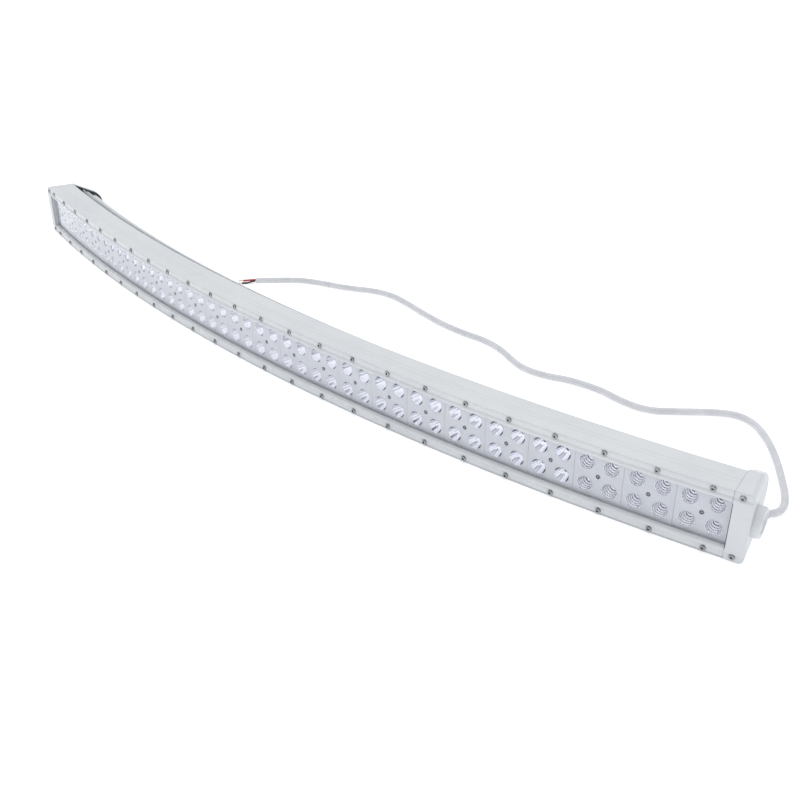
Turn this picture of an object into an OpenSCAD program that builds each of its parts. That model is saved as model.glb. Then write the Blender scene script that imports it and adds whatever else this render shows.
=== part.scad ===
// Curved LED light bar: an arc of twelve-volt flood and spot lamps for a truck or trailer.
// The bar follows a shallow arc. X runs along the bar, Y goes to the rear, Z is up.
// Units are millimetres. The origin is on the floor in the middle of the bar.
// Inside the sub-parts, a place on the bar is given three ways: s is the arc length from
// the middle, d the depth behind the screw-head plane, v the height above the mid height.

/* [Bar] */
// Radius of the arc of the front plane
arc_r = 2850; // [2400:10:3600]
// Number of reflector modules along the bar
modules = 24; // [24:1:24]
// Length of one reflector module along the arc
module_pitch = 50.8; // [50:0.1:51.5]
// Overall height of the bar
body_h = 73; // [72:0.5:76]
// Depth of the flat top before the rear starts to slope
flat_d = 42; // [40:0.5:44]
// Depth of the centre of the rounded rear
nose_d = 58.5; // [57:0.5:60]
// Radius of the rounded rear of the end caps
nose_r = 24.5; // [23.5:0.5:25.5]
// How far the housing lies inside the end caps at the rear
housing_inset = 4.5; // [3:0.5:6]

/* [Front] */
// Thickness of the clear lens
lens_t = 2; // [1.8:0.1:2.2]
// Depth of the front of the lens
lens_d = 5; // [4.5:0.1:5]
// Half height of the window the lens closes
window_h = 24.8; // [24:0.1:25.4]
// Pitch of the retaining strip screws along the arc
strip_pitch = 51.47; // [50:0.01:52]
// Height of the retaining strip screws from mid height
strip_screw_v = 32.3; // [31.5:0.1:33]

/* [Lamps] */
// Radius of the mouth of one reflector cup
cup_r = 8.3; // [7.5:0.1:8.8]
// Spacing of the two cups of a module along the bar
cup_pitch = 25.4; // [24.5:0.1:25.6]
// Distance of the two rows of cups from mid height
cup_v = 12.4; // [12:0.1:12.8]
// Number of stepped flood modules at each end
flood_modules = 3; // [0:1:11]

/* [End caps] */
// Width of an end cap along the bar, joint face to outer face
cap_w = 18.5; // [17:0.5:20]
// Slant of a cap's outer face towards the rear, in degrees
cap_slant = 4.3; // [3:0.1:5]
// Radius of the mounting boss on an end cap
boss_r = 15.25; // [14:0.25:16]
// Height of the mounting boss above the outer face
boss_h = 7.3; // [5:0.1:9]
// Height of the rim round the boss face
rim_h = 1.5; // [0.8:0.1:2]
// Depth of the mounting boss centre
boss_d = 21; // [18:0.5:24]
// Radius of the threaded hole in the boss, at the thread crests
thread_r = 3.4; // [2.5:0.1:4.2]
// Length of the threaded hole
thread_len = 18.5; // [12:0.5:19]

/* [Cable] */
// Diameter of the cable jacket
cable_dia = 7.5; // [6:0.1:8]
// Diameter of one insulated lead
lead_dia = 2.6; // [2:0.1:3]

/* [Hidden] */
deg = 180 / PI;
mid_z = body_h / 2;
half_s = modules * module_pitch / 2;      // end of the row of modules
end_s = half_s + 0.9;                     // end face of the housing
seal_t = 0.8;                             // thickness of a cap gasket
lip_gap = 0.1;                            // gap between the housing and the lip of a cap
y_shift = 73.6;                           // brings the middle of the bar's depth to Y = 0
tens = "0123456789";
seat_t = 0.8;                             // thickness of the lens gasket
refl_d = lens_d + lens_t + seat_t + 0.2;  // front of the reflector plates
head_sunk = 0.8;                          // depth of the seat of a reflector screw's head
board_d = 21.4;                           // front of the lamp boards
web_d = 23;                               // front of the housing web
rear_web_d = 29;                          // back of the housing web
cavity_d = 56;                            // back of the driver cavity
cavity_h = 17.5;                          // half height of the driver cavity
boards = 4;
board_modules = modules / boards;
gland_s = 617;
gland_d = 60;
gland_v = -22;
gland_yaw = 28;
gland_pitch = 15;

function two(k) = str(tens[floor(k / 10)], tens[k % 10]);
reflector_names = [for (k = [1:modules]) str("reflector_", two(k))];
board_names = [for (k = [1:boards]) str("led_board_", k)];
led_names = [for (k = [1:boards]) str("leds_", k)];

// Places on the bar, as points of the shared frame
function at_bar(s, d, v) = [
    (arc_r - d) * sin(s / arc_r * deg),
    arc_r - (arc_r - d) * cos(s / arc_r * deg) - y_shift,
    mid_z + v];

module along(s = 0, d = 0, v = 0)
    translate([0, arc_r - y_shift, mid_z])
        rotate([0, 0, s / arc_r * deg])
            translate([0, d - arc_r, v])
                children();

// A profile drawn with depth across and height up, carried along the arc from s0 to s1
module bend(s0, s1)
    translate([0, arc_r - y_shift, mid_z])
        rotate_extrude(angle = (s1 - s0) / arc_r * deg, start = -90 + s0 / arc_r * deg, $fn = 720)
            translate([arc_r, 0])
                mirror([1, 0])
                    children();

// A profile drawn with depth across and height up, extruded straight along the bar
module across(t0, t1)
    translate([t0, 0, 0])
        rotate([90, 0, 90])
            linear_extrude(t1 - t0)
                children();

// Turns an axis that points up so that it points to the rear
module rearward()
    rotate([-90, 0, 0])
        children();

module block(d0, d1, v0, v1)
    translate([d0, v0])
        square([d1 - d0, v1 - v0]);

module both_rows()
    for (m = [0, 1])
        mirror([0, m])
            children();

// The rounded outline of the bar seen from its end, drawn smaller by the inset
module end_outline(inset = 0, flat_inset = 0) {
    h = body_h / 2 - flat_inset;
    r = nose_r - inset;
    c = flat_d - inset * 0.55;
    under = r - 0.15;                     // the slopes end just under the round surface
    reach = norm([nose_d - c, h]);
    touch = atan2(h, c - nose_d) - acos(under / reach);
    polygon([
        [flat_inset, -h], [c, -h], [nose_d + under * cos(touch), -under * sin(touch)],
        [nose_d + under * cos(touch), under * sin(touch)], [c, h], [flat_inset, h]]);
    translate([nose_d, 0])
        circle(r = r, $fn = 96);
}

// Housing: one aluminium extrusion bent to the arc

module fin_plates()
    both_rows() {
        block(34, flat_d - 1, cavity_h, body_h / 2);
        for (p = [45.5, 52.3, 59])
            block(p, p + 2.4, cavity_h, body_h / 2);
        for (p = [6.2, 13.2])
            block(cavity_d + 2, nose_d + nose_r, p, p + 1.8);
        block(cavity_d + 2, nose_d + nose_r, -0.05, 0.9);
    }

module housing_profile() {
    difference() {
        intersection() {
            end_outline(housing_inset);
            union() {
                difference() {
                    block(4, flat_d - 3, -body_h / 2, body_h / 2);
                    block(3, web_d, -window_h, window_h);
                    block(3, lens_d + lens_t + seat_t, -window_h - 4, window_h + 4);
                    block(rear_web_d, 40, -cavity_h, cavity_h);
                }
                both_rows() {
                    block(1.2, 5, body_h / 2 - 1.2, body_h / 2);
                    block(30, cavity_d + 3, cavity_h, cavity_h + 3);
                    block(cavity_d, cavity_d + 3, 0, cavity_h + 3);
                    block(rear_web_d - 0.5, rear_web_d + 2, 14.5, 17);
                }
                fin_plates();
            }
        }
        both_rows() {
            for (p = [15.6, 21.6])
                polygon([
                    [p - 0.7, body_h / 2 + 0.1], [p, body_h / 2 - 0.4],
                    [p + 0.9, body_h / 2 + 0.1]]);
            block(flat_d - 1.2, flat_d + 8, cavity_h + 6, body_h / 2 - 1.4);
        }
    }
}

module housing()
    color([0.88, 0.89, 0.90])
        difference() {
            bend(-end_s, end_s)
                housing_profile();
            for (k = [1:modules]) {
                along((k - (modules + 1) / 2) * module_pitch, web_d - 1)
                    rearward()
                        cylinder(r = 1.5, h = 6.1, $fn = 24);
                for (v = [-strip_screw_v, strip_screw_v])
                    along((k - (modules + 1) / 2) * strip_pitch, 3, v)
                        rearward()
                            cylinder(r = 1.5, h = 9.1, $fn = 24);
            }
        }

// Retaining strips along the top and bottom of the lens, with a raised rounded bead

module strip_profile()
    polygon([
        [lens_d, 24], [2.6, 24.15], [1.2, 24.7], [0.5, 25.5], [0.2, 26.5], [0.45, 27.6],
        [1.0, 28.5], [1.8, 29.3], [1.6, 30], [1.6, 34.9], [1.9, 35.2], [4, 35.2],
        [4, 28.7], [lens_d, 28.6]]);

module strip(side)
    color([0.91, 0.92, 0.93])
        difference() {
            bend(-end_s + 0.2, end_s - 0.2)
                mirror([0, side > 0 ? 0 : 1])
                    strip_profile();
            for (k = [1:modules])
                along((k - (modules + 1) / 2) * strip_pitch, 1, side * strip_screw_v)
                    rearward()
                        cylinder(r = 1.5, h = 3.1, $fn = 24);
        }

module top_strip() strip(1);
module bottom_strip() strip(-1);

// Pan-head screw with a six-sided socket, head front at the origin, pointing to the rear
module pan_screw(head_r, head_h, shaft_r, shaft_len)
    rearward()
        difference() {
            rotate_extrude($fn = 32)
                polygon([
                    [0, 0], [head_r * 0.7, 0], [head_r * 0.93, 0.35], [head_r, 0.9],
                    [head_r, head_h], [shaft_r, head_h], [shaft_r, head_h + shaft_len - 0.6],
                    [shaft_r - 0.6, head_h + shaft_len], [0, head_h + shaft_len]]);
            translate([0, 0, -1])
                cylinder(r = head_r * 0.48, h = 1 + head_h * 0.6, $fn = 6);
        }

module strip_screws(side)
    color([0.55, 0.56, 0.58])
        for (k = [1:modules])
            along((k - (modules + 1) / 2) * strip_pitch, 0, side * strip_screw_v)
                pan_screw(2.9, 1.6, 1.5, 9.5);

module top_strip_screws() strip_screws(1);
module bottom_strip_screws() strip_screws(-1);

// Clear lens and the rubber frame it presses on

module lens()
    color([0.85, 0.90, 0.95, 0.35])
        bend(-end_s + 0.2, end_s - 0.2)
            block(lens_d, lens_d + lens_t, -window_h - 3.7, window_h + 3.7);

module lens_gasket()
    color([0.50, 0.51, 0.53])
        difference() {
            bend(-end_s + 0.2, end_s - 0.2)
                block(lens_d + lens_t, lens_d + lens_t + seat_t, -window_h - 3.7, window_h + 3.7);
            bend(-half_s, half_s)
                block(lens_d + lens_t - 1, lens_d + lens_t + 2, -window_h, window_h);
        }

// Reflector modules: a plate with four cups and a screw pillar in the middle

// Wall of one cup, drawn as radius across and depth up. Flood cups go down in steps.
module cup_wall(flood) {
    deep = board_d - refl_d;
    inner = flood
        ? [[cup_r, 0], [cup_r, 1.4], [cup_r - 1, 1.7], [cup_r - 1, 3.6], [cup_r - 2, 3.9],
           [cup_r - 2, 5.8], [cup_r - 3, 6.1], [cup_r - 3, 8], [cup_r - 4, 8.3],
           [cup_r - 4, deep]]
        : [[cup_r, 0], [cup_r - 0.5, 2.4], [cup_r - 1.3, 5], [cup_r - 2.5, 7.6],
           [cup_r - 3.7, 9.8], [cup_r - 5, deep]];
    outer = flood
        ? [[cup_r - 3.2, deep], [cup_r - 3.2, 8.9], [cup_r - 2.2, 8.8], [cup_r - 2.2, 6.6],
           [cup_r - 1.2, 6.5], [cup_r - 1.2, 4.4], [cup_r - 0.2, 4.3], [cup_r - 0.2, 2.2],
           [cup_r + 0.8, 2.1], [cup_r + 0.8, 0]]
        : [[cup_r - 4.1, deep], [cup_r - 2.8, 9.8], [cup_r - 1.6, 7.6], [cup_r - 0.4, 5],
           [cup_r + 0.4, 2.4], [cup_r + 0.8, 0]];
    polygon(concat(inner, outer));
}

module reflector(k) {
    flood = k <= flood_modules || k > modules - flood_modules;
    half = module_pitch / 2 - 0.2;
    color([0.83, 0.82, 0.88])
        along((k - (modules + 1) / 2) * module_pitch, refl_d) {
            difference() {
                union() {
                    translate([-half, 0, -window_h + 0.2])
                        cube([2 * half, 1.5, 2 * window_h - 0.4]);
                    rearward()
                        cylinder(r = 3.2, h = board_d - refl_d, $fn = 32);
                }
                for (x = [-1, 1], v = [-1, 1])
                    translate([x * cup_pitch / 2, -1, v * cup_v])
                        rearward()
                            cylinder(r = cup_r + 0.4, h = 4, $fn = 48);
                translate([0, -1, 0])
                    rearward() {
                        cylinder(r = 1.5, h = 20, $fn = 24);
                        cylinder(r = 2.5, h = 1 + head_sunk, $fn = 32);
                    }
            }
            for (x = [-1, 1], v = [-1, 1])
                translate([x * cup_pitch / 2, 0, v * cup_v])
                    rearward()
                        rotate_extrude($fn = 48)
                            cup_wall(flood);
        }
}

module reflector_screws()
    color([0.55, 0.56, 0.58])
        for (k = [1:modules])
            along((k - (modules + 1) / 2) * module_pitch, refl_d + head_sunk - 1.5)
                pan_screw(2.4, 1.5, 1.5, 18.5);

// Lamp boards and the lamps soldered to them

module led_board(b)
    color([0.06, 0.06, 0.065])
        difference() {
            bend(-half_s + (b - 1) * half_s / 2 + 0.5, -half_s + b * half_s / 2 - 0.5)
                block(board_d, web_d, -window_h + 0.8, window_h - 0.8);
            for (k = [1:board_modules])
                along(((b - 1) * board_modules + k - (modules + 1) / 2) * module_pitch, board_d - 1)
                    rearward()
                        cylinder(r = 1.5, h = 4, $fn = 24);
        }

module leds(b)
    color([0.95, 0.86, 0.35])
        for (k = [1:2 * board_modules], v = [-cup_v, cup_v])
            along(((b - 1) * 2 * board_modules + k - modules - 0.5) * cup_pitch, board_d, v) {
                translate([-2.1, -0.8, -2.1])
                    cube([4.2, 0.8, 4.2]);
                translate([0, -1.7, 0])
                    rearward()
                        cylinder(r1 = 1.1, r2 = 1.8, h = 0.9, $fn = 24);
            }

// Driver board in the rear cavity, with its parts and the two wires to the cable

driver_half = 290;
driver_d = rear_web_d + 2;

module driver_board()
    color([0.10, 0.36, 0.20])
        bend(-driver_half, driver_half)
            block(driver_d, driver_d + 1.6, -16, 16);

module driver_parts() {
    face = driver_d + 1.6 + 0.02;
    for (k = [0:7])
        color([0.16, 0.17, 0.18])
            along(-245 + 70 * k, face, 7)
                rearward()
                    cylinder(r = 6, h = 9, $fn = 32);
    for (k = [0:6])
        color([0.18, 0.24, 0.36])
            along(-210 + 70 * k, face, 8)
                rearward()
                    cylinder(r = 4, h = 14, $fn = 32);
    for (k = [0:7])
        color([0.08, 0.08, 0.09])
            along(-245 + 70 * k, face, -9)
                translate([-6, 0, -4])
                    cube([12, 2.4, 8]);
    color([0.90, 0.90, 0.86])
        along(280, face, -8)
            translate([-5, 0, -6])
                cube([10, 8, 12]);
}

// Smooth route through a list of points, each gap cut into n steps
function between(a, b, c, d, u) =
    0.5 * (2 * b + (c - a) * u + (2 * a - 5 * b + 4 * c - d) * u * u
        + (3 * b - a - 3 * c + d) * u * u * u);
function smooth(p, n) = concat(
    [for (i = [0:len(p) - 2], j = [0:n - 1])
        between(p[max(i - 1, 0)], p[i], p[i + 1], p[min(i + 2, len(p) - 1)], j / n)],
    [p[len(p) - 1]]);
function unit(w) = w / norm(w);
function heading(p, i) = unit(p[min(i + 1, len(p) - 1)] - p[max(i - 1, 0)]);
function ring(p, i, r, sides) =
    let (t = heading(p, i), a = unit(cross(t, [0, 0, 1])), b = cross(a, t))
        [for (k = [0:sides - 1]) p[i] + r * (cos(360 * k / sides) * a + sin(360 * k / sides) * b)];

// Round tube swept along a route
module swept(p, dia, sides) {
    n = len(p);
    points = [for (i = [0:n - 1]) each ring(p, i, dia / 2, sides)];
    walls = [for (i = [0:n - 2], k = [0:sides - 1])
        let (a = i * sides + k, b = i * sides + (k + 1) % sides)
            each [[a, b, b + sides], [a, b + sides, a + sides]]];
    first = [for (k = [0:sides - 1]) sides - 1 - k];
    last = [for (k = [0:sides - 1]) (n - 1) * sides + k];
    polyhedron(points, concat(walls, [first], [last]));
}

function harness_route(v) = concat(
    [at_bar(285.2, 38, v), at_bar(290, 42, v), at_bar(296, 50, v), at_bar(306, 53, v)],
    [for (s = [340:40:580]) at_bar(s, 53, v)],
    [at_bar(600, 53, v), at_bar(611, 52, v - 2)]);

module harness_red()
    color([0.70, 0.10, 0.08])
        swept(smooth(harness_route(-7), 5), 2, 8);

module harness_black()
    color([0.07, 0.07, 0.08])
        swept(smooth(harness_route(-11), 5), 2, 8);

// End caps, castings that close the ends and carry the mounting bosses

// Front corner of a cap seen from above: along the bar, then to the rear
module cap_plan()
    polygon([
        [lip_gap, -1], [cap_w - 3.4, -1], [cap_w - 1, 0.45], [cap_w + 0.15, 2.2],
        [cap_w + 0.8, 6], [cap_w + 0.8, 100], [lip_gap, 100]]);

// One side of a cap with its rounded outer edge: along the cap, then out to the side
module cap_side(reach, end, r) {
    polygon([[-5, -90], [end, -90], [end, reach - r], [end - r, reach], [-5, reach]]);
    translate([end - r, reach - r])
        circle(r = r, $fn = 48);
}

// The cap's sides and its slanting outer face, all rounded where they meet, drawn about the
// centre of the rounded rear; inset makes the smaller shape that hollows the cap out
module cap_rounding(inset, r) {
    end = cap_w * cos(cap_slant) - (nose_d - 1.2) * sin(cap_slant) - inset;
    round_r = nose_r + 0.3 - inset;
    slope_r = round_r - 0.15;
    reach = norm([nose_d - flat_d, body_h / 2]);
    touch = atan2(body_h / 2, flat_d - nose_d) - acos((nose_r - 0.15) / reach);
    translate([0, nose_d, 0])
        rotate([0, 0, cap_slant]) {
            rotate([0, 90, 0])
                rotate_extrude($fn = 96)
                    intersection() {
                        mirror([1, -1])
                            cap_side(round_r, end, r);
                        translate([0, -5])
                            square([100, 100]);
                    }
            intersection() {
                for_sides(90, body_h / 2 + 0.3 - inset, end, r);
                for_sides(touch, slope_r, end, r);
                translate([-6, (slope_r - r / 2) * cos(touch) - 100, -60])
                    cube([60, 100, 120]);
            }
        }
}

// Outline of the gasket between the housing and a cap; it shows only beside the lens
module gasket_outline()
    intersection() {
        end_outline(1, 1);
        union() {
            block(2.3, 2 * nose_d, -body_h / 2, body_h / 2);
            block(1.3, 10, -window_h + 0.6, window_h - 0.6);
        }
    }

// The same side above and below mid height
module for_sides(turn, reach, end, r)
    intersection_for(t = [-turn, turn])
        rotate([t, 0, 0])
            translate([0, 0, -100])
                linear_extrude(200)
                    cap_side(reach, end, r);

module gland_axis()
    along(gland_s, gland_d, gland_v)
        rotate([0, 0, -gland_yaw])
            rotate([-gland_pitch, 0, 0])
                rearward()
                    children();

module cap_body()
    along(end_s)
        difference() {
            union() {
                difference() {
                    intersection() {
                        across(0, cap_w + 2)
                            end_outline();
                        translate([0, 0, -body_h])
                            linear_extrude(2 * body_h)
                                cap_plan();
                        cap_rounding(0, 6.3);
                    }
                    intersection() {
                        across(-1, cap_w)
                            difference() {
                                end_outline(3.6, 3.6);
                                both_rows()
                                    block(0, 4.4, 0, body_h);
                            }
                        cap_rounding(3.6, 2.2);
                    }
                    across(-1, seal_t) {
                        gasket_outline();
                        block(-2, 5, -window_h + 0.6, window_h - 0.6);
                    }
                    for (m = [0, 1])
                        mirror([0, 0, m])
                            across(-1, cap_w + 3)
                                polygon([[-1, 27.5], [0, 27.5], [1.3, 29.5], [1.3, 40], [-1, 40]]);
                }
                translate([5, boss_d, 0])
                    rotate([0, 90, 0])
                        rotate_extrude($fn = 64)
                            polygon([
                                [0, 0], [9, 0], [9, cap_w - 9], [boss_r, cap_w - 8],
                                [boss_r, cap_w + boss_h - 7], [boss_r - 0.5, cap_w + boss_h - 5.8],
                                [boss_r - 1.3, cap_w + boss_h - 5.2],
                                [boss_r - 2.4, cap_w + boss_h - 5],
                                [boss_r - 4.2, cap_w + boss_h - 5],
                                [boss_r - 5.2, cap_w + boss_h - 5 - rim_h],
                                [0, cap_w + boss_h - 5 - rim_h]]);
            }
            translate([cap_w + boss_h - rim_h - thread_len, boss_d, 0])
                rotate([0, 90, 0])
                    cylinder(r = thread_r, h = thread_len + 1, $fn = 32);
            for (v = [-31.4, 31.4])
                translate([7.9, -1, v])
                    rearward()
                        cylinder(r = 1.6, h = 8, $fn = 24);
        }

module end_cap()
    difference() {
        union() {
            cap_body();
            intersection() {
                gland_axis()
                    translate([0, 0, -2])
                        cylinder(r = 7.5, h = 11, $fn = 48);
                along(end_s)
                    translate([seal_t, 0, -mid_z])
                        cube([40, 120, body_h]);
            }
        }
        gland_axis()
            translate([0, 0, -12])
                cylinder(r = 5, h = 30, $fn = 48);
    }

module right_end_cap()
    color([0.89, 0.90, 0.91])
        end_cap();

module left_end_cap()
    color([0.89, 0.90, 0.91])
        mirror([1, 0, 0])
            end_cap();

// Rubber gasket between the housing and a cap, with a round way through for the cable
module cap_gasket()
    color([0.06, 0.06, 0.065])
        difference() {
            along(end_s)
                across(0, seal_t)
                    difference() {
                        gasket_outline();
                        block(rear_web_d + 0.5, cavity_d - 0.5, -cavity_h + 0.5, cavity_h - 0.5);
                    }
            gland_axis()
                translate([0, 0, -30])
                    cylinder(r = 5, h = 30, $fn = 48);
        }

module right_cap_gasket() cap_gasket();
module left_cap_gasket() mirror([1, 0, 0]) cap_gasket();

// Aluminium block pressed into the driver cavity; the cap screws thread into its lugs
module end_block()
    color([0.62, 0.64, 0.67])
        along(end_s)
            difference() {
                union() {
                    translate([3, 14, -24])
                        cube([4.5, 33, 48]);
                    translate([-16, 31.2, -16.8])
                        cube([20, 15.8, 33.6]);
                    for (m = [0, 1])
                        mirror([0, 0, m])
                            translate([3, 4.6, 22])
                                cube([8.5, 16, 10.6]);
                }
                translate([2, boss_d, 0])
                    rotate([0, 90, 0])
                        cylinder(r = 9.6, h = 12, $fn = 48);
                for (v = [-31.4, 31.4])
                    translate([7.9, 0, v])
                        rearward()
                            cylinder(r = 1.5, h = 16, $fn = 24);
            }

module right_end_block() end_block();
module left_end_block() mirror([1, 0, 0]) end_block();

module end_cap_screws()
    color([0.55, 0.56, 0.58])
        for (m = [0, 1], v = [-31.4, 31.4])
            mirror([m, 0, 0])
                along(end_s)
                    translate([7.9, -0.3, v])
                        pan_screw(2.9, 1.6, 1.5, 11);

// Breather plug in the left cap and cable gland in the right cap, on the same boss

module breather_plug()
    color([0.86, 0.86, 0.88])
        mirror([1, 0, 0])
            gland_axis() {
                translate([0, 0, -1])
                    cylinder(r = 5, h = 10, $fn = 48);
                translate([0, 0, 9])
                    cylinder(r = 6.6, h = 2.5, $fn = 6);
                translate([0, 0, 11.5])
                    cylinder(r1 = 5.2, r2 = 4.2, h = 2.5, $fn = 48);
            }

module cable_gland()
    color([0.86, 0.86, 0.88])
        gland_axis()
            difference() {
                union() {
                    translate([0, 0, -1])
                        cylinder(r = 5, h = 10, $fn = 48);
                    translate([0, 0, 9])
                        cylinder(r = 6.8, h = 4.5, $fn = 6);
                }
                translate([0, 0, -2])
                    cylinder(r = cable_dia / 2 + 0.1, h = 20, $fn = 48);
                translate([0, 0, 10.5])
                    cylinder(r = 5, h = 4, $fn = 48);
            }

module gland_seal()
    color([0.20, 0.20, 0.21])
        gland_axis()
            difference() {
                translate([0, 0, 10.5])
                    cylinder(r = 5, h = 3, $fn = 48);
                translate([0, 0, 10])
                    cylinder(r = cable_dia / 2 + 0.1, h = 4, $fn = 48);
            }

module strain_relief()
    color([0.84, 0.84, 0.86])
        gland_axis()
            difference() {
                union() {
                    translate([0, 0, 13.5])
                        cylinder(r1 = 5.4, r2 = 5.2, h = 1.5, $fn = 48);
                    translate([0, 0, 15])
                        cylinder(r1 = 5.2, r2 = 4.4, h = 8, $fn = 48);
                }
                translate([0, 0, 13])
                    cylinder(r = cable_dia / 2 + 0.1, h = 11, $fn = 48);
            }

// Cable: jacket along the floor behind the bar, then two short leads with bare ends

cable_route = [
    [597.2, 44.2, 16.6], [602.4, 62.8, 11.4], [605.3, 73, 8.5], [608, 84, 5.6],
    [609, 95, 4.1], [606, 108, 3.8], [598, 124, 3.8], [585, 144, 3.8], [571, 164, 3.8],
    [555, 185, 3.8], [539, 203, 3.8], [524, 217, 3.8], [509, 227, 3.8], [494, 231, 3.8],
    [480, 228, 3.8], [466, 219, 3.8], [449, 204, 3.8], [432, 188, 3.8], [415, 174, 3.8],
    [396, 168, 3.8], [372, 168, 3.8], [343, 171, 3.8], [306, 166, 3.8], [283, 157, 3.8],
    [261, 152, 3.8], [240, 153, 3.8], [220, 160, 3.8], [192, 171, 3.8], [162, 176, 3.8],
    [126, 174, 3.8], [89, 175, 3.8], [50, 181, 3.8], [4, 190, 3.8], [-26, 193, 3.8],
    [-54, 187, 3.8], [-77, 175, 3.8], [-101, 163, 3.8], [-132, 152, 3.8],
    [-164, 134, 3.8], [-204, 92, 3.8]];
red_route = [
    [-204, 92.6, 4.6], [-208.5, 88.5, 4.2], [-213, 87, 3], [-217.5, 84.5, 2], [-221, 82, 1.6]];
black_route = [
    [-204.6, 91.2, 3.2], [-207, 86.5, 2.8], [-208.5, 82, 2], [-211, 78, 1.6], [-214.5, 74.5, 1.6]];

module cable()
    color([0.88, 0.88, 0.90])
        swept(smooth(cable_route, 2), cable_dia, 12);

module red_lead()
    color([0.72, 0.08, 0.06])
        swept(smooth(red_route, 2), lead_dia, 8);

module black_lead()
    color([0.06, 0.06, 0.07])
        swept(smooth(black_route, 2), lead_dia, 8);

module bare_conductors()
    color([0.80, 0.52, 0.32]) {
        swept([[-221, 82, 1.6], [-224, 79.9, 1.6], [-227, 77.8, 1.6]], 1.5, 8);
        swept([[-214.5, 74.5, 1.6], [-217.5, 71.6, 1.6], [-220.5, 68.7, 1.6]], 1.5, 8);
    }

housing();
top_strip();
bottom_strip();
lens();
lens_gasket();
left_end_cap();
right_end_cap();
left_cap_gasket();
right_cap_gasket();
left_end_block();
right_end_block();
top_strip_screws();
bottom_strip_screws();
end_cap_screws();
reflector_screws();
for (k = [1:modules])
    reflector(k);
for (b = [1:boards])
    led_board(b);
for (b = [1:boards])
    leds(b);
driver_board();
driver_parts();
harness_red();
harness_black();
breather_plug();
cable_gland();
gland_seal();
strain_relief();
cable();
red_lead();
black_lead();
bare_conductors();
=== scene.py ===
"""Looks of the LED light bar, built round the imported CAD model. Everything is in metres."""
import math

import bmesh
import bpy
from mathutils import Matrix, Vector


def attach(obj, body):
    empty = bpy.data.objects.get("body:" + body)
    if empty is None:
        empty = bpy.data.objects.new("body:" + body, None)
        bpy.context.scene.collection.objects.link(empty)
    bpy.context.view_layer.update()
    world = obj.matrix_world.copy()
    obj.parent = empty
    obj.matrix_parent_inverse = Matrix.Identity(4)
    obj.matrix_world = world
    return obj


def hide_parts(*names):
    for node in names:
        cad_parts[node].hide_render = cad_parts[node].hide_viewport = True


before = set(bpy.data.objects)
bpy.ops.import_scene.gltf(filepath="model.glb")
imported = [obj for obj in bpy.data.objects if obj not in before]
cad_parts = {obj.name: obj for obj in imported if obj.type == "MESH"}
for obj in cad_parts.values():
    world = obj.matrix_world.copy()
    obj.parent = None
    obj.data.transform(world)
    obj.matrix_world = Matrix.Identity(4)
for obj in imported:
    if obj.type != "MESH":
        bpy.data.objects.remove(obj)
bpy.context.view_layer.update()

MM = 0.001
UP = Vector((0, 0, 1))

# Driving dimensions, the same as the CAD model's. Depths run from the bar's front to its rear.
ARC_R = 2.850                  # radius of the arc of the front plane
Y_SHIFT = 0.0736               # middle of the bar's depth
MID_Z = 0.0365                 # mid height
MODULES = 24
PITCH = 0.0508                 # one reflector module along the arc
REFLECTOR_D = 0.0080           # depth of the reflector plates
BOARD_D = 0.0214               # depth of the lamp boards
CUP_R = 0.0083
CUP_PITCH = 0.0254
CUP_V = 0.0124
FLOOD_MODULES = 3              # stepped modules at each end
CABLE_DIA = 0.0075
LEAD_DIA = 0.0026


# ---------------------------------------------------------------- camera

CAMERA_AT = (0.9196, -0.7242, 0.5657)
CAMERA_TILT, CAMERA_TURN = 61.01, 45.34        # degrees about X and about Z
SENSOR_MM, LENS_MM = 36, 45.61
NEAR, FAR = 0.02, 60


def make_camera():
    data = bpy.data.cameras.new("camera")
    data.sensor_width = SENSOR_MM
    data.lens = LENS_MM
    data.clip_start, data.clip_end = NEAR, FAR
    camera = bpy.data.objects.new("camera", data)
    camera.location = CAMERA_AT
    camera.rotation_euler = (math.radians(CAMERA_TILT), 0, math.radians(CAMERA_TURN))
    bpy.context.collection.objects.link(camera)
    bpy.context.scene.camera = camera


make_camera()


# ---------------------------------------------------------------- mesh helpers

SHARP_EDGE = math.radians(35)
SINGLE_POINT_R = 1e-7          # a smaller radius is a point on the axis
REARWARD = Matrix.Rotation(math.radians(-90), 4, "X")   # turns Z to the rear
FORWARD = Matrix.Rotation(math.radians(90), 4, "X")     # turns Z to the front


def place(s, d=0.0, v=0.0):
    """Local frame at arc length s, depth d and height v: X along the bar, Y to the rear."""
    turn = s / ARC_R
    r = ARC_R - d
    return (Matrix.Translation((r * math.sin(turn), ARC_R - r * math.cos(turn) - Y_SHIFT,
                                MID_Z + v))
            @ Matrix.Rotation(turn, 4, "Z"))


def add_object(name, data):
    obj = bpy.data.objects.new(name, data)
    bpy.context.collection.objects.link(obj)
    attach(obj, "root")
    return obj


def mesh_from(name, verts, faces, smooth=True):
    mesh = bpy.data.meshes.new(name)
    mesh.from_pydata([tuple(v) for v in verts], [], faces)
    mesh.validate()
    if smooth:
        mesh.shade_smooth()
    return mesh


def smooth_route(points, steps):
    """Catmull-Rom curve through the points, each gap cut into steps."""
    p = [Vector(q) for q in points]
    out = []
    for i in range(len(p) - 1):
        a, b, c, d = p[max(i - 1, 0)], p[i], p[i + 1], p[min(i + 2, len(p) - 1)]
        for j in range(steps):
            u = j / steps
            out.append(0.5 * (2 * b + (c - a) * u + (2 * a - 5 * b + 4 * c - d) * u ** 2
                              + (3 * b - a - 3 * c + d) * u ** 3))
    return out + [p[-1]]


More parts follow.
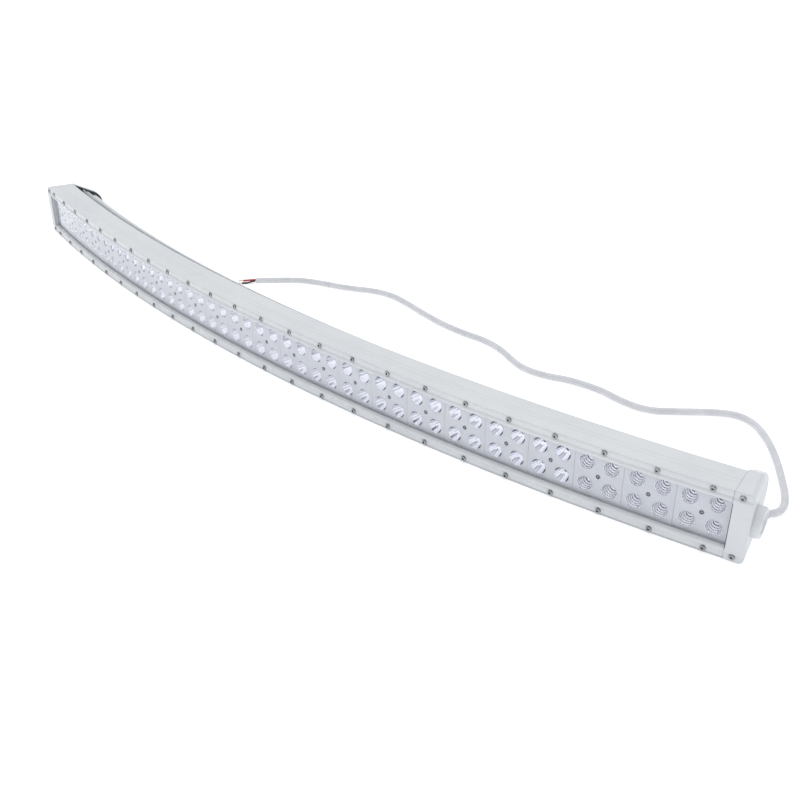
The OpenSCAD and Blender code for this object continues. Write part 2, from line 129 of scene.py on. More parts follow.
def sweep(route, radius, sides):
    """Vertices and faces of a round tube with closed ends."""
    n = len(route)
    verts, faces = [], []
    for i, at in enumerate(route):
        t = (route[min(i + 1, n - 1)] - route[max(i - 1, 0)]).normalized()
        a = t.cross(UP).normalized()
        b = a.cross(t)
        for k in range(sides):
            turn = math.tau * k / sides
            verts.append(at + radius * (math.cos(turn) * a + math.sin(turn) * b))
    for i in range(n - 1):
        for k in range(sides):
            j = i * sides + k
            m = i * sides + (k + 1) % sides
            faces.append((j, m, m + sides, j + sides))
    faces.append(tuple(range(sides - 1, -1, -1)))
    faces.append(tuple((n - 1) * sides + k for k in range(sides)))
    return verts, faces


def lathe(profile, sides, closed=False):
    """Turns a list of (radius, height) about Z. A radius of 0 makes a single point, and closed
    joins the last ring to the first."""
    verts, rings, faces = [], [], []
    for r, z in profile:
        if r < SINGLE_POINT_R:
            rings.append([len(verts)])
            verts.append(Vector((0, 0, z)))
        else:
            rings.append(list(range(len(verts), len(verts) + sides)))
            verts += [Vector((r * math.cos(math.tau * k / sides),
                              r * math.sin(math.tau * k / sides), z)) for k in range(sides)]
    pairs = list(zip(rings, rings[1:]))
    if closed:
        pairs.append((rings[-1], rings[0]))
    for low, high in pairs:
        for k in range(sides):
            m = (k + 1) % sides
            if len(low) == 1:
                faces.append((low[0], high[m], high[k]))
            elif len(high) == 1:
                faces.append((low[k], low[m], high[0]))
            else:
                faces.append((low[k], low[m], high[m], high[k]))
    return verts, faces


class Builder:
    """Collects many small shapes into one mesh, each with a material index."""

    def __init__(self):
        self.verts, self.faces, self.index = [], [], []

    def add(self, shape, matrix=None, index=0):
        verts, faces = shape
        start = len(self.verts)
        self.verts += [matrix @ v if matrix else v for v in verts]
        self.faces += [tuple(start + i for i in f) for f in faces]
        self.index += [index] * len(faces)

    def mesh(self, name):
        mesh = mesh_from(name, self.verts, self.faces)
        mesh.polygons.foreach_set("material_index", self.index)
        bm = bmesh.new()
        bm.from_mesh(mesh)
        bmesh.ops.recalc_face_normals(bm, faces=bm.faces)
        for edge in bm.edges:
            edge.smooth = edge.calc_face_angle(0.0) < SHARP_EDGE
        bm.to_mesh(mesh)
        bm.free()
        return mesh


def rounded_box(size, bevel, segments=2):
    """Vertices and faces of a box on the plane y = 0, growing to -y, with soft edges."""
    bm = bmesh.new()
    bmesh.ops.create_cube(bm, size=1.0)
    bmesh.ops.scale(bm, vec=size, verts=bm.verts)
    bmesh.ops.translate(bm, vec=(0, -size[1] / 2, 0), verts=bm.verts)
    bmesh.ops.bevel(bm, geom=bm.edges[:], offset=bevel, segments=segments, affect="EDGES")
    bm.verts.index_update()
    shape = ([v.co.copy() for v in bm.verts], [tuple(v.index for v in f.verts) for f in bm.faces])
    bm.free()
    return shape


# ---------------------------------------------------------------- cable

# The middle lines of the cable and of its two leads, in millimetres
CABLE_ROUTE = [
    (597.2, 44.2, 16.6), (602.4, 62.8, 11.4), (605.3, 73, 8.5), (608, 84, 5.6),
    (609, 95, 4.1), (606, 108, 3.8), (598, 124, 3.8), (585, 144, 3.8), (571, 164, 3.8),
    (555, 185, 3.8), (539, 203, 3.8), (524, 217, 3.8), (509, 227, 3.8), (494, 231, 3.8),
    (480, 228, 3.8), (466, 219, 3.8), (449, 204, 3.8), (432, 188, 3.8), (415, 174, 3.8),
    (396, 168, 3.8), (372, 168, 3.8), (343, 171, 3.8), (306, 166, 3.8), (283, 157, 3.8),
    (261, 152, 3.8), (240, 153, 3.8), (220, 160, 3.8), (192, 171, 3.8), (162, 176, 3.8),
    (126, 174, 3.8), (89, 175, 3.8), (50, 181, 3.8), (4, 190, 3.8), (-26, 193, 3.8),
    (-54, 187, 3.8), (-77, 175, 3.8), (-101, 163, 3.8), (-132, 152, 3.8),
    (-164, 134, 3.8), (-204, 92, 3.8)]
RED_ROUTE = [(-204, 92.6, 4.6), (-208.5, 88.5, 4.2), (-213, 87, 3), (-217.5, 84.5, 2),
             (-221, 82, 1.6)]
BLACK_ROUTE = [(-204.6, 91.2, 3.2), (-207, 86.5, 2.8), (-208.5, 82, 2), (-211, 78, 1.6),
               (-214.5, 74.5, 1.6)]
CABLE_STEPS, CABLE_SIDES = 4, 28
LEAD_STEPS, LEAD_SIDES = 6, 20

# The bare ends: from where each leaves its lead to its tip, in millimetres
BARE_ENDS = [((-220.6, 82.3, 1.6), (-227, 77.8, 1.6)),
             ((-214.1, 74.9, 1.6), (-220.5, 68.7, 1.6))]
OUTER_STRANDS = 6                              # round one in the middle
STRAND_R, STRAND_LAY_R = 0.24 * MM, 0.49 * MM
STRAND_TURNS, STRAND_RINGS, STRAND_SIDES = 1.4, 18, 8
OPENS_FROM, OPENING = 0.6, 0.25                # share of the length where the strands spread


def metres(route):
    return [Vector(p) * MM for p in route]


def make_lead(name, route, node):
    verts, faces = sweep(smooth_route(metres(route), LEAD_STEPS), LEAD_DIA / 2, LEAD_SIDES)
    lead = add_object(name, mesh_from(name, verts, faces))
    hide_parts(node)
    return lead


def make_strands():
    """Two bare ends, each seven copper strands twisted together and opening a little."""
    build = Builder()
    for first, last in BARE_ENDS:
        a, b = Vector(first) * MM, Vector(last) * MM
        side = (b - a).normalized().cross(UP)
        for k in range(OUTER_STRANDS + 1):
            out = 0.0 if k == OUTER_STRANDS else STRAND_LAY_R
            length = 1 - 0.05 * (k % 3)        # the strands are not cut quite level
            route = []
            for i in range(STRAND_RINGS):
                u = i / (STRAND_RINGS - 1)
                turn = math.tau * (k / OUTER_STRANDS + STRAND_TURNS * u)
                spread = out * (1 + OPENING * max(0.0, u - OPENS_FROM))
                route.append(a.lerp(b, u * length)
                             + spread * (math.cos(turn) * side + math.sin(turn) * UP))
            build.add(sweep(route, STRAND_R, STRAND_SIDES))
    strands = add_object("bare_strands", build.mesh("bare_strands"))
    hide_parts("bare_conductors")
    return strands


def make_cable():
    route = smooth_route(metres(CABLE_ROUTE), CABLE_STEPS)
    build = Builder()
    build.add(sweep(route, CABLE_DIA / 2, CABLE_SIDES))
    jacket = add_object("cable_jacket", build.mesh("cable_jacket"))
    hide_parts("cable")
    red = make_lead("lead_red", RED_ROUTE, "red_lead")
    black = make_lead("lead_black", BLACK_ROUTE, "black_lead")
    strands = make_strands()
    return jacket, red, black, strands


cable_jacket, lead_red, lead_black, bare_strands = make_cable()


# ---------------------------------------------------------------- reflector modules

CUP_DEEP = BOARD_D - REFLECTOR_D - 0.0002      # the cups end just short of the lamp boards
CUP_MOUTH_R = CUP_R - 0.0003
CUP_FLOOR_R = 0.0031
CUP_SIDES, CUP_RINGS = 64, 30
CUP_TURNS = [math.tau * (k + 0.5) / CUP_SIDES for k in range(CUP_SIDES)]
LIP_FOOT_R = CUP_R + 0.0006
LIP = [(CUP_R + 0.0003, -0.00025), (CUP_R, -0.0003), (CUP_R - 0.0002, -0.0001)]   # radius, Y
PLATE_STRIPS = 1 + len(LIP)                    # strips of faces on the plate and the lip
PLATE_SLOT, CUP_SLOT = 0, 1                    # material slots
PLATE_HALF_X = PITCH / 2 - 0.0002              # leaves a thin gap between two modules
PLATE_HALF_V = 0.0246
PLATE_THICK = 0.0008
FLOOD_STEPS, STEP_DEEP, STEP_MIDDLE = 5, 0.00042, 0.6
FLOOD_FLUTES, FLUTE_DEEP = 16, 0.0001
MODULE_SHARP_EDGE = math.radians(32)
WELD, OFF_LINE = 2e-5, 1e-6


def cup_radius(u):
    """A parabola from the mouth of a cup, u = 0, to its floor, u = 1."""
    return math.sqrt(CUP_MOUTH_R ** 2 - (CUP_MOUTH_R ** 2 - CUP_FLOOR_R ** 2) * u)


def flood_relief(u, turn):
    """What the round steps and fine flutes of a flood cup add to its radius."""
    step = abs(math.sin(math.pi * FLOOD_STEPS * u))
    return STEP_DEEP * (step - STEP_MIDDLE) + FLUTE_DEEP * math.cos(FLOOD_FLUTES * turn) * step


def cup_loop(bm, cx, cv, y, radii):
    """Vertices round the axis of a cup at one depth, with a radius for each of CUP_TURNS."""
    return [bm.verts.new((cx + r * math.cos(turn), y, cv + r * math.sin(turn)))
            for r, turn in zip(radii, CUP_TURNS)]


def module_mesh(name, flood):
    """A thin plate with four cups and a soft lip round each."""
    bm = bmesh.new()
    for sx in (-1, 1):
        for sv in (-1, 1):
            cx, cv = sx * CUP_PITCH / 2, sv * CUP_V
            x0, x1 = sorted((0, sx * PLATE_HALF_X))
            v0, v1 = sorted((0, sv * PLATE_HALF_V))
            edge_of_cell, foot = [], []
            for turn in CUP_TURNS:
                c, n = math.cos(turn), math.sin(turn)
                reach = min((x1 - cx) / c if c > 0 else (x0 - cx) / c,
                            (v1 - cv) / n if n > 0 else (v0 - cv) / n)
                edge_of_cell.append(bm.verts.new((cx + c * reach, 0, cv + n * reach)))
                foot.append(bm.verts.new((cx + c * LIP_FOOT_R, 0, cv + n * LIP_FOOT_R)))
            loops = [edge_of_cell, foot]
            loops += [cup_loop(bm, cx, cv, y, [r] * CUP_SIDES) for r, y in LIP]
            for i in range(CUP_RINGS + 1):
                u = i / CUP_RINGS
                radii = [cup_radius(u) + (flood_relief(u, turn) if flood else 0.0)
                         for turn in CUP_TURNS]
                loops.append(cup_loop(bm, cx, cv, CUP_DEEP * u, radii))
            for i in range(len(loops) - 1):
                for k in range(CUP_SIDES):
                    m = (k + 1) % CUP_SIDES
                    face = bm.faces.new((loops[i][k], loops[i][m], loops[i + 1][m],
                                         loops[i + 1][k]))
                    face.material_index = PLATE_SLOT if i < PLATE_STRIPS else CUP_SLOT
            # the corners of the cell, cut off by the last straight stretches of its edge
            for qx in (x0, x1):
                for qv in (v0, v1):
                    near = sorted(edge_of_cell,
                                  key=lambda w: (w.co.x - qx) ** 2 + (w.co.z - qv) ** 2)
                    a, b = near[:2]
                    if abs(a.co.x - b.co.x) > OFF_LINE and abs(a.co.z - b.co.z) > OFF_LINE:
                        bm.faces.new((a, b, bm.verts.new((qx, 0, qv))))
    bmesh.ops.remove_doubles(bm, verts=bm.verts, dist=WELD)
    bmesh.ops.recalc_face_normals(bm, faces=bm.faces)
    plate_faces = [f for f in bm.faces if f.material_index == PLATE_SLOT]
    if sum(f.normal.y * f.calc_area() for f in plate_faces) > 0:     # the plate looks forward
        bmesh.ops.reverse_faces(bm, faces=bm.faces)
    bmesh.ops.solidify(bm, geom=bm.faces[:], thickness=PLATE_THICK)
    for edge in bm.edges:
        edge.smooth = edge.calc_face_angle(0.0) < MODULE_SHARP_EDGE
    for face in bm.faces:
        face.smooth = True
    mesh = bpy.data.meshes.new(name)
    bm.to_mesh(mesh)
    bm.free()
    return mesh


spot_mesh = module_mesh("spot_module", False)
flood_mesh = module_mesh("flood_module", True)
for k in range(1, MODULES + 1):
    flood = k <= FLOOD_MODULES or k > MODULES - FLOOD_MODULES
    module = add_object(f"module_{k:02d}", flood_mesh if flood else spot_mesh)
    module.matrix_world = place((k - (MODULES + 1) / 2) * PITCH, REFLECTOR_D)
    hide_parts(f"reflector_{k:02d}")


# ---------------------------------------------------------------- lamps

LAMP_GROUPS = 4
LAMP_SIDES = 24
CHIP_WIDE, CHIP_THICK, CHIP_BEVEL = 0.0042, 0.0008, 0.0002
PAD_R, PAD_THICK, PAD_Y = 0.0014, 0.0002, -0.00078
DOME_R, DOME_HIGH, DOME_Y, DOME_STEPS = 0.0012, 0.001, -0.0009, 5
CHIP_SLOT, PAD_SLOT, DOME_SLOT = 0, 1, 2       # material slots


def lamp_shapes():
    """A square body, the round phosphor on it, and the dome over that."""
    chip = rounded_box((CHIP_WIDE, CHIP_THICK, CHIP_WIDE), CHIP_BEVEL)
    pad = lathe([(0.0, 0.0), (PAD_R, 0.0), (PAD_R + 0.00005, PAD_THICK / 2),
                 (PAD_R, PAD_THICK), (0.0, PAD_THICK)], LAMP_SIDES)
    angles = [math.radians(90 / DOME_STEPS * i) for i in range(1, DOME_STEPS)]
    dome = lathe([(DOME_R, 0.0)]
                 + [(DOME_R * math.cos(a), DOME_HIGH * math.sin(a)) for a in angles]
                 + [(0.0, DOME_HIGH)], LAMP_SIDES)
    return chip, pad, dome


def make_lamps():
    chip, pad, dome = lamp_shapes()
    columns = 2 * MODULES // LAMP_GROUPS
    made = []
    for g in range(LAMP_GROUPS):
        build = Builder()
        for c in range(columns):
            s = (g * columns + c - MODULES + 0.5) * CUP_PITCH
            for v in (-CUP_V, CUP_V):
                at = place(s, BOARD_D, v)
                build.add(chip, at, CHIP_SLOT)
                build.add(pad, at @ Matrix.Translation((0, PAD_Y, 0)) @ FORWARD, PAD_SLOT)
                build.add(dome, at @ Matrix.Translation((0, DOME_Y, 0)) @ FORWARD, DOME_SLOT)
        lamps = add_object(f"lamps_{g + 1}", build.mesh(f"lamps_{g + 1}"))
        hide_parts(f"leds_{g + 1}")
        made.append(lamps)
    return made


lamp_groups = make_lamps()


# ---------------------------------------------------------------- strain relief

# The axis of the gland: its place on the arc, then its turn outwards and its dip
GLAND = (place(0.617, 0.060, -0.022) @ Matrix.Rotation(math.radians(-28), 4, "Z")
         @ Matrix.Rotation(math.radians(-15), 4, "X") @ REARWARD)

# The boot along that axis
BOOT_START, BOOT_END, BOOT_SIDES = 0.0135, 0.0230, 40
COLLAR = [(0.0054, BOOT_START), (0.0055, 0.0138), (0.0054, 0.0148)]   # radius, place
TIP = [(0.0044, 0.0229), (0.0042, BOOT_END)]
RIBS, RIB_START, RIB_PITCH = 5, 0.0150, 0.0016
RIB_R, RIB_TAPER, GROOVE_DEEP = 0.0052, 0.00016, 0.0006


def make_boot():
    """Ribbed tapered sleeve where the cable leaves the gland."""
    inner = CABLE_DIA / 2
    profile = [(inner, BOOT_START)] + COLLAR
    for rib in range(RIBS):
        z = RIB_START + RIB_PITCH * rib
        r = RIB_R - RIB_TAPER * rib
        groove = r - GROOVE_DEEP
        profile += [(groove, z), (groove, z + 0.0005), (r, z + 0.0007), (r, z + 0.0014)]
    profile += TIP + [(inner, BOOT_END)]
    boot = add_object("boot", mesh_from("boot", *lathe(profile, BOOT_SIDES, closed=True)))
    boot.data.transform(GLAND)
    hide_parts("strain_relief")
    return boot


boot = make_boot()


# ---------------------------------------------------------------- materials

FLAT_DOT, CORNER_DOT = 0.995, 0.85   # true against rounded normal, on the flat and at a corner


class Graph:
    """A material's node tree, made with short calls."""

    def __init__(self, name):
        self.material = bpy.data.materials.new(name)
        self.material.use_nodes = True
        self.tree = self.material.node_tree
        self.tree.nodes.clear()
        self.coords = None

    def feed(self, socket, value):
        if isinstance(value, bpy.types.NodeSocket):
            self.tree.links.new(value, socket)
        else:
            socket.default_value = value

    def node(self, kind, inputs=None, **settings):
        made = self.tree.nodes.new("ShaderNode" + kind)
        for key, value in settings.items():
            setattr(made, key, value)
        for key, value in (inputs or {}).items():
            self.feed(made.inputs[key], value)
        return made

    def place(self):
        """Object coordinates, in metres."""
        if self.coords is None:
            self.coords = self.node("TexCoord").outputs["Object"]
        return self.coords

    def noise(self, scale, detail=3.0, rough=0.5, vector=None):
        return self.node("TexNoise", {"Vector": vector or self.place(), "Scale": scale,
                                      "Detail": detail, "Roughness": rough}).outputs["Fac"]

    def spread(self, value, low, high, to_low=0.0, to_high=1.0):
        return self.node("MapRange", {0: value, 1: low, 2: high, 3: to_low, 4: to_high}
                         ).outputs[0]

    def math(self, operation, a, b=0.0):
        return self.node("Math", {0: a, 1: b}, operation=operation).outputs[0]

    def mix(self, share, a, b):
        return self.node("Mix", {0: share, 6: a, 7: b}, data_type="RGBA").outputs[2]

    def blend(self, scale, low, high, first, second, detail=4.0):
        """Two colours that noise mixes: the first up to low and the second from high on."""
        return self.mix(self.spread(self.noise(scale, detail=detail), low, high), first, second)

    def vary(self, scale, least, most, detail=3.0):
        """A number that noise moves between least and most."""
        return self.spread(self.noise(scale, detail=detail), 0.3, 0.7, least, most)

    def edges(self, width):
        """Nearness of a corner, 0 on a flat stretch and 1 on an edge, and the rounded normal."""
        soft = self.node("Bevel", {"Radius": width}, samples=4).outputs[0]
        flat = self.node("NewGeometry").outputs["Normal"]
        dot = self.node("VectorMath", {0: soft, 1: flat}, operation="DOT_PRODUCT").outputs["Value"]
        return self.spread(dot, FLAT_DOT, CORNER_DOT), soft

    def bump(self, height, strength, distance, normal=None):
        inputs = {"Height": height, "Strength": strength, "Distance": distance}
        if normal is not None:
            inputs["Normal"] = normal
        return self.node("Bump", inputs).outputs[0]

    def finish(self, shader):
        out = self.node("OutputMaterial")
        self.tree.links.new(shader, out.inputs["Surface"])
        return self.material

    def principled(self, inputs):
        """Finishes the material with one principled shader."""
        return self.finish(self.node("BsdfPrincipled", inputs).outputs[0])


def rgb(r, g, b):
    return (r, g, b, 1.0)


NEAR_BLACK = rgb(0.02, 0.02, 0.022)
DUST = rgb(0.55, 0.56, 0.57)
RUBBED_COAT = rgb(0.76, 0.77, 0.78)
RUBBED_METAL = rgb(0.86, 0.87, 0.89)


def arc_parts(g):
    """Distance from the centre of the arc, and the separated coordinates."""
    moved = g.node("VectorMath", {0: g.place(), 1: (0, Y_SHIFT - ARC_R, 0)},
                   operation="ADD").outputs["Vector"]
    parts = g.node("SeparateXYZ", {0: moved})
    x, y = parts.outputs[0], parts.outputs[1]
    radius = g.math("SQRT", g.math("ADD", g.math("MULTIPLY", x, x), g.math("MULTIPLY", y, y)))
    return radius, parts


def arc_lines(g):
    """Coordinates that run across the arc only, so that noise on them makes lines along it."""
    radius, parts = arc_parts(g)
    return g.node("CombineXYZ", {0: radius, 1: 0.0, 2: parts.outputs[2]}).outputs[0]


def white_coat(name, light, shade, gloss, lines=False, grain=0.05, edge=0.0007):
    """Powder coat: orange peel, faint clouding, dust, and rubbed bright corners. With lines,
    fine marks of drawing also run along the bar."""
    g = Graph(name)
    peel = g.noise(1300, detail=2)
    fine = g.noise(5200, detail=1)
    height = g.math("ADD", g.math("MULTIPLY", peel, 0.8), g.math("MULTIPLY", fine, 0.2))
    if lines:
        drawn = g.noise(2600, detail=2, vector=arc_lines(g))
        height = g.math("ADD", height, g.math("MULTIPLY", drawn, 0.7))
    corner, soft = g.edges(edge)
    worn = g.math("MULTIPLY", corner, g.spread(g.noise(160, detail=4), 0.45, 0.7, 0.1, 0.75))
    clouded = g.blend(11, 0.35, 0.65, light, shade)
    dusty = g.mix(g.spread(g.noise(75, detail=5, rough=0.6), 0.52, 0.75, 0.0, 0.25),
                  clouded, DUST)
    rough = g.math("ADD", g.vary(40, gloss - 0.06, gloss + 0.08, detail=4),
                   g.math("MULTIPLY", worn, -0.1))
    return g.principled({
        "Base Color": g.mix(worn, dusty, RUBBED_COAT), "Roughness": rough,
        "Specular IOR Level": 0.45, "Normal": g.bump(height, grain, 0.0004, soft)})


def rubber(name, dark, light, gloss):
    """Rubber or moulded plastic: mottled, with a fine grain."""
    g = Graph(name)
    return g.principled({
        "Base Color": g.blend(120, 0.35, 0.7, dark, light),
        "Roughness": g.vary(300, gloss - 0.08, gloss + 0.1),
        "Normal": g.bump(g.noise(2400, detail=2), 0.12, 0.0003)})


WINDOW_WALL_D = 0.0075         # a cap gasket's pale walls lie in front of this depth
SIDEWAYS = 0.9                 # and their normals have at least this share along X


def seal_with_painted_gap_shade(name):
    """Gasket near-black as painted shade for the dark joint gaps round the caps, with pale grey
    side walls at the two ends of the window.
    """
    g = Graph(name)
    radius, _ = arc_parts(g)
    near_front = g.math("GREATER_THAN", radius, ARC_R - WINDOW_WALL_D)
    along_x = g.node("SeparateXYZ", {0: g.node("NewGeometry").outputs["Normal"]}).outputs[0]
    side_wall = g.math("GREATER_THAN", g.math("ABSOLUTE", along_x), SIDEWAYS)
    # painted shade: this near-black stands in for the shade in the gaps where the caps meet the
    # housing and the lens
    black = g.blend(120, 0.35, 0.7, NEAR_BLACK, rgb(0.04, 0.04, 0.043))
    pale = g.blend(160, 0.35, 0.7, rgb(0.60, 0.61, 0.62), rgb(0.54, 0.55, 0.56))
    return g.principled({
        "Base Color": g.mix(g.math("MULTIPLY", near_front, side_wall), black, pale),
        "Roughness": g.vary(300, 0.47, 0.65),
        "Normal": g.bump(g.noise(2400, detail=2), 0.12, 0.0003)})


def jacket(name, light, shade, scuff):
    """Soft plastic jacket: shallow long waves, scuffs and a satin skin."""
    g = Graph(name)
    waves = g.noise(55, detail=3)
    skin = g.noise(1900, detail=2)
    clouded = g.mix(g.spread(waves, 0.35, 0.65), light, shade)
    base = g.mix(g.spread(g.noise(230, detail=6, rough=0.65), 0.58, 0.74, 0.0, 0.5),
                 clouded, scuff)
    height = g.math("ADD", g.math("MULTIPLY", waves, 2.0), skin)
    return g.principled({
        "Base Color": base, "Roughness": g.vary(90, 0.36, 0.55, detail=4),
        "Normal": g.bump(height, 0.1, 0.0004)})


METAL_GRAIN = 1500             # scale of the scratches
METAL_EDGE = 0.0003            # width of the bright corners


def metal(name, light, shade, gloss, shade_reach=0.0):
    """Turned or plated metal with fine scratches and bright corners. The last argument is the
    reach, in metres, of painted shade that darkens closed-in places and contacts towards black, or
    0 for none."""
    g = Graph(name)
    corner, soft = g.edges(METAL_EDGE)
    cloud = g.blend(METAL_GRAIN / 4, 0.3, 0.7, light, shade)
    base = g.mix(g.math("MULTIPLY", corner, 0.6), cloud, RUBBED_METAL)
    if shade_reach:
        # painted shade: ambient occlusion darkens recesses and the rings where parts meet towards
        # near black
        open_share = g.node("AmbientOcclusion", {"Distance": shade_reach}, samples=6).outputs["AO"]
        base = g.mix(g.spread(open_share, 0.25, 0.8), NEAR_BLACK, base)
    return g.principled({
        "Base Color": base, "Metallic": 1.0,
        "Roughness": g.vary(METAL_GRAIN, gloss - 0.06, gloss + 0.1),
        "Normal": g.bump(g.noise(METAL_GRAIN * 2, detail=2), 0.08, 0.0002, soft)})


def mirror_cup(name):
    """Vacuum-metallised plastic of the cups: bright, with faint ripples from moulding."""
    g = Graph(name)
    ripple = g.noise(420, detail=2)
    return g.principled({
        "Base Color": g.blend(900, 0.4, 0.7, rgb(0.93, 0.93, 0.95), rgb(0.84, 0.84, 0.88)),
        "Metallic": 1.0, "Roughness": g.vary(1500, 0.015, 0.035),
        "Normal": g.bump(ripple, 0.012, 0.0006)})


def satin_plate(name):
    """The flat of the reflector modules: pearly silver-grey with a fine sparkle."""
    g = Graph(name)
    pearl = g.noise(2600, detail=3)
    base = g.blend(60, 0.35, 0.65, rgb(0.69, 0.70, 0.72), rgb(0.64, 0.65, 0.67))
    base = g.mix(g.spread(pearl, 0.55, 0.8, 0.0, 0.5), base, rgb(0.74, 0.75, 0.77))
    return g.principled({
        "Base Color": base, "Metallic": 0.12, "Roughness": g.vary(500, 0.34, 0.5),
        "Normal": g.bump(pearl, 0.1, 0.0002)})


def clear_lens(name):
    """Clear plastic sheet: what is behind shows, with a soft gloss that strengthens at a slant."""
    g = Graph(name)
    haze = g.spread(g.noise(24, detail=5), 0.35, 0.7, 0.03, 0.09)
    normal = g.bump(g.noise(34, detail=2), 0.03, 0.0006)
    gloss = g.node("BsdfGlossy", {"Color": rgb(0.96, 0.97, 1.0), "Roughness": haze,
                                  "Normal": normal}).outputs[0]
    clear = g.node("BsdfTransparent", {"Color": rgb(0.972, 0.975, 0.985)}).outputs[0]
    front = g.math("SUBTRACT", 1.0, g.node("NewGeometry").outputs["Backfacing"])
    share = g.math("MULTIPLY", g.node("Fresnel", {"IOR": 1.45, "Normal": normal}).outputs[0],
                   front)
    return g.finish(g.node("MixShader", {0: share, 1: clear, 2: gloss}).outputs[0])


def circuit_board(name, mask, trace):
    """Solder mask with a net of thin traces."""
    g = Graph(name)
    lines = g.node("TexVoronoi", {"Vector": g.place(), "Scale": 210.0},
                   feature="DISTANCE_TO_EDGE").outputs["Distance"]
    base = g.mix(g.spread(lines, 0.02, 0.05), trace, mask)
    base = g.mix(g.spread(g.noise(500, detail=3), 0.4, 0.7, 0.0, 0.3), base, trace)
    return g.principled({
        "Base Color": base, "Roughness": g.vary(700, 0.3, 0.45),
        "Normal": g.bump(lines, 0.15, 0.0001)})


def lamp_finish(name, light, shade, gloss):
    """A part of a lamp: finely mottled under a clear coat."""
    g = Graph(name)
    return g.principled({
        "Base Color": g.blend(3000, 0.35, 0.65, light, shade, detail=3),
        "Roughness": g.vary(900, gloss, gloss + 0.1),
        "Coat Weight": 0.6, "Coat Roughness": 0.05,
        "Normal": g.bump(g.noise(4000), 0.05, 0.0001)})


extruded = white_coat("extruded_white", rgb(0.67, 0.69, 0.70), rgb(0.63, 0.65, 0.67), 0.38,
                      lines=True)
cast = white_coat("cast_white", rgb(0.67, 0.69, 0.71), rgb(0.62, 0.64, 0.66), 0.42, grain=0.09,
                  edge=0.0012)
trim = white_coat("trim_white", rgb(0.68, 0.70, 0.71), rgb(0.64, 0.66, 0.68), 0.28, lines=True,
                  grain=0.03, edge=0.0004)
gasket = rubber("gasket_rubber", rgb(0.58, 0.59, 0.61), rgb(0.66, 0.67, 0.69), 0.6)
white_jacket = jacket("white_jacket", rgb(0.64, 0.65, 0.68), rgb(0.58, 0.59, 0.62),
                      rgb(0.46, 0.46, 0.48))
red_skin = jacket("red_insulation", rgb(0.50, 0.025, 0.03), rgb(0.38, 0.018, 0.022),
                  rgb(0.55, 0.12, 0.10))
black_skin = jacket("black_insulation", rgb(0.025, 0.018, 0.02), rgb(0.04, 0.03, 0.032),
                    rgb(0.09, 0.08, 0.08))
# the cap gaskets carry painted shade for the joint gaps
seal = seal_with_painted_gap_shade("seal_rubber_gap_shade")
# the screws get painted shade in their sockets and round their bases
steel = metal("screw_steel", rgb(0.44, 0.44, 0.45), rgb(0.24, 0.24, 0.25), 0.18, shade_reach=0.003)
small_steel = metal("small_screw_steel", rgb(0.58, 0.58, 0.60), rgb(0.42, 0.42, 0.43), 0.25,
                    shade_reach=0.0006)
block_metal = metal("block_aluminium", rgb(0.66, 0.67, 0.69), rgb(0.56, 0.57, 0.59), 0.4)
copper = metal("stranded_copper", rgb(0.62, 0.38, 0.26), rgb(0.50, 0.28, 0.19), 0.3)
cups = mirror_cup("cup_mirror")
plate = satin_plate("module_plate")
lens_clear = clear_lens("lens_clear")
lamp_board = circuit_board("lamp_board", NEAR_BLACK, rgb(0.05, 0.05, 0.05))
green_board = circuit_board("driver_board_green", rgb(0.03, 0.16, 0.07), rgb(0.05, 0.24, 0.11))
black_parts = rubber("black_parts", rgb(0.025, 0.025, 0.028), rgb(0.05, 0.05, 0.055), 0.4)
lamp_body = lamp_finish("lamp_body", rgb(0.03, 0.03, 0.032), rgb(0.05, 0.05, 0.052), 0.3)
phosphor = lamp_finish("lamp_phosphor", rgb(0.80, 0.74, 0.48), rgb(0.72, 0.66, 0.40), 0.25)
dome_pale = lamp_finish("lamp_dome", rgb(0.90, 0.89, 0.84), rgb(0.84, 0.82, 0.74), 0.06)
nylon = rubber("white_nylon", rgb(0.74, 0.74, 0.76), rgb(0.80, 0.80, 0.82), 0.45)

NODE_MATERIALS = {
    "housing": extruded, "top_strip": trim, "bottom_strip": trim, "lens": lens_clear,
    "lens_gasket": gasket, "left_end_cap": cast, "right_end_cap": cast,
    "left_cap_gasket": seal, "right_cap_gasket": seal, "left_end_block": block_metal,
    "right_end_block": block_metal, "top_strip_screws": steel, "bottom_strip_screws": steel,
    "end_cap_screws": steel, "reflector_screws": small_steel, "driver_board": green_board,
    "driver_parts": black_parts, "harness_red": red_skin, "harness_black": black_skin,
    "breather_plug": nylon, "cable_gland": nylon, "gland_seal": gasket}
NODE_MATERIALS.update({f"led_board_{k}": lamp_board for k in range(1, LAMP_GROUPS + 1)})


def clothe(obj, *materials):
    obj.data.materials.clear()
    for material in materials:
        obj.data.materials.append(material)


for name, material in NODE_MATERIALS.items():
    clothe(bpy.data.objects[name], material)
for data in (spot_mesh, flood_mesh):           # in the order of the module's material slots
    data.materials.append(plate)
    data.materials.append(cups)
for lamps in lamp_groups:                      # in the order of the lamps' material slots
    clothe(lamps, lamp_body, phosphor, dome_pale)
clothe(cable_jacket, white_jacket)
clothe(lead_red, red_skin)
clothe(lead_black, black_skin)
clothe(bare_strands, copper)
clothe(boot, white_jacket)


# ---------------------------------------------------------------- floor and light

WHITE = rgb(1.0, 1.0, 1.0)
FLOOR_HALF = 60.0
FLOOR_GLOW = 0.34              # a weak light of the floor's own that brings it up to white
SKY = 1.12                     # strength of the light from all round
SKY_SIDES = (1.10, 0.78)       # its share at -X and at +X: the studio is dimmer on the cable side
# Share of the height of the sky, and the tone there
SKY_TONES = ((0.0, rgb(0.50, 0.53, 0.58)), (0.35, rgb(0.66, 0.68, 0.71)), (0.85, WHITE))


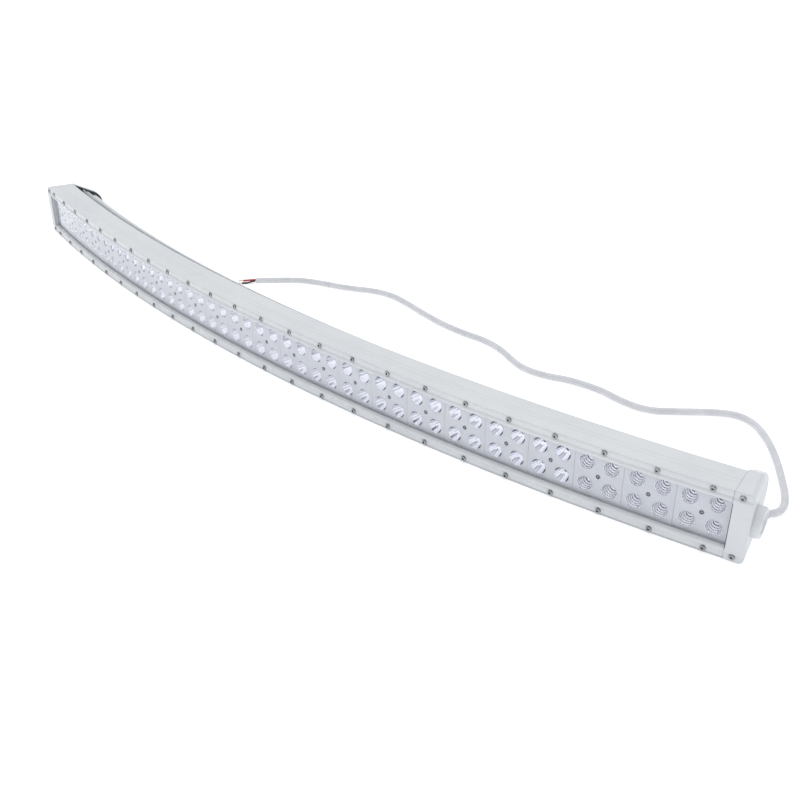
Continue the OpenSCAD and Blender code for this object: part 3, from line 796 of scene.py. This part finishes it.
def make_floor():
    corners = [(-FLOOR_HALF, -FLOOR_HALF, 0), (FLOOR_HALF, -FLOOR_HALF, 0),
               (FLOOR_HALF, FLOOR_HALF, 0), (-FLOOR_HALF, FLOOR_HALF, 0)]
    floor = bpy.data.objects.new("floor", mesh_from("floor", corners, [(0, 1, 2, 3)],
                                                    smooth=False))
    bpy.context.collection.objects.link(floor)
    g = Graph("floor_paper")
    paper = g.blend(2, 0.3, 0.7, rgb(0.96, 0.96, 0.96), rgb(0.94, 0.94, 0.945), detail=3)
    clothe(floor, g.principled({
        "Base Color": paper, "Roughness": 0.9, "Specular IOR Level": 0.1,
        "Emission Color": WHITE, "Emission Strength": FLOOR_GLOW}))


def area_light(name, where, aim, size, power):
    data = bpy.data.lights.new(name, "AREA")
    data.shape = "RECTANGLE"
    data.size, data.size_y = size
    data.energy = power
    lamp = bpy.data.objects.new(name, data)
    lamp.location = where
    lamp.rotation_euler = (Vector(aim) - Vector(where)).to_track_quat("-Z", "Y").to_euler()
    bpy.context.collection.objects.link(lamp)


def make_world():
    world = bpy.data.worlds.new("studio")
    bpy.context.scene.world = world
    world.use_nodes = True
    tree = world.node_tree
    background = tree.nodes["Background"]
    coords = tree.nodes.new("ShaderNodeTexCoord")
    parts = tree.nodes.new("ShaderNodeSeparateXYZ")
    ramp = tree.nodes.new("ShaderNodeValToRGB")
    low, middle, high = SKY_TONES
    stops = ramp.color_ramp.elements
    stops[0].position, stops[0].color = low
    stops[1].position, stops[1].color = high
    stops.new(middle[0]).color = middle[1]
    tree.links.new(coords.outputs["Generated"], parts.inputs[0])
    tree.links.new(parts.outputs[2], ramp.inputs[0])
    side = tree.nodes.new("ShaderNodeMapRange")
    left, right = SKY_SIDES
    for index, value in enumerate((-1.0, 1.0, left * SKY, right * SKY), start=1):
        side.inputs[index].default_value = value
    tree.links.new(parts.outputs[0], side.inputs[0])
    tree.links.new(ramp.outputs[0], background.inputs["Color"])
    tree.links.new(side.outputs[0], background.inputs["Strength"])


make_floor()
make_world()
area_light("overhead", where=(0.2, 0.8, 2.4), aim=(0, 0.05, 0), size=(2.4, 1.6), power=11)
bpy.context.scene.view_settings.view_transform = "Standard"
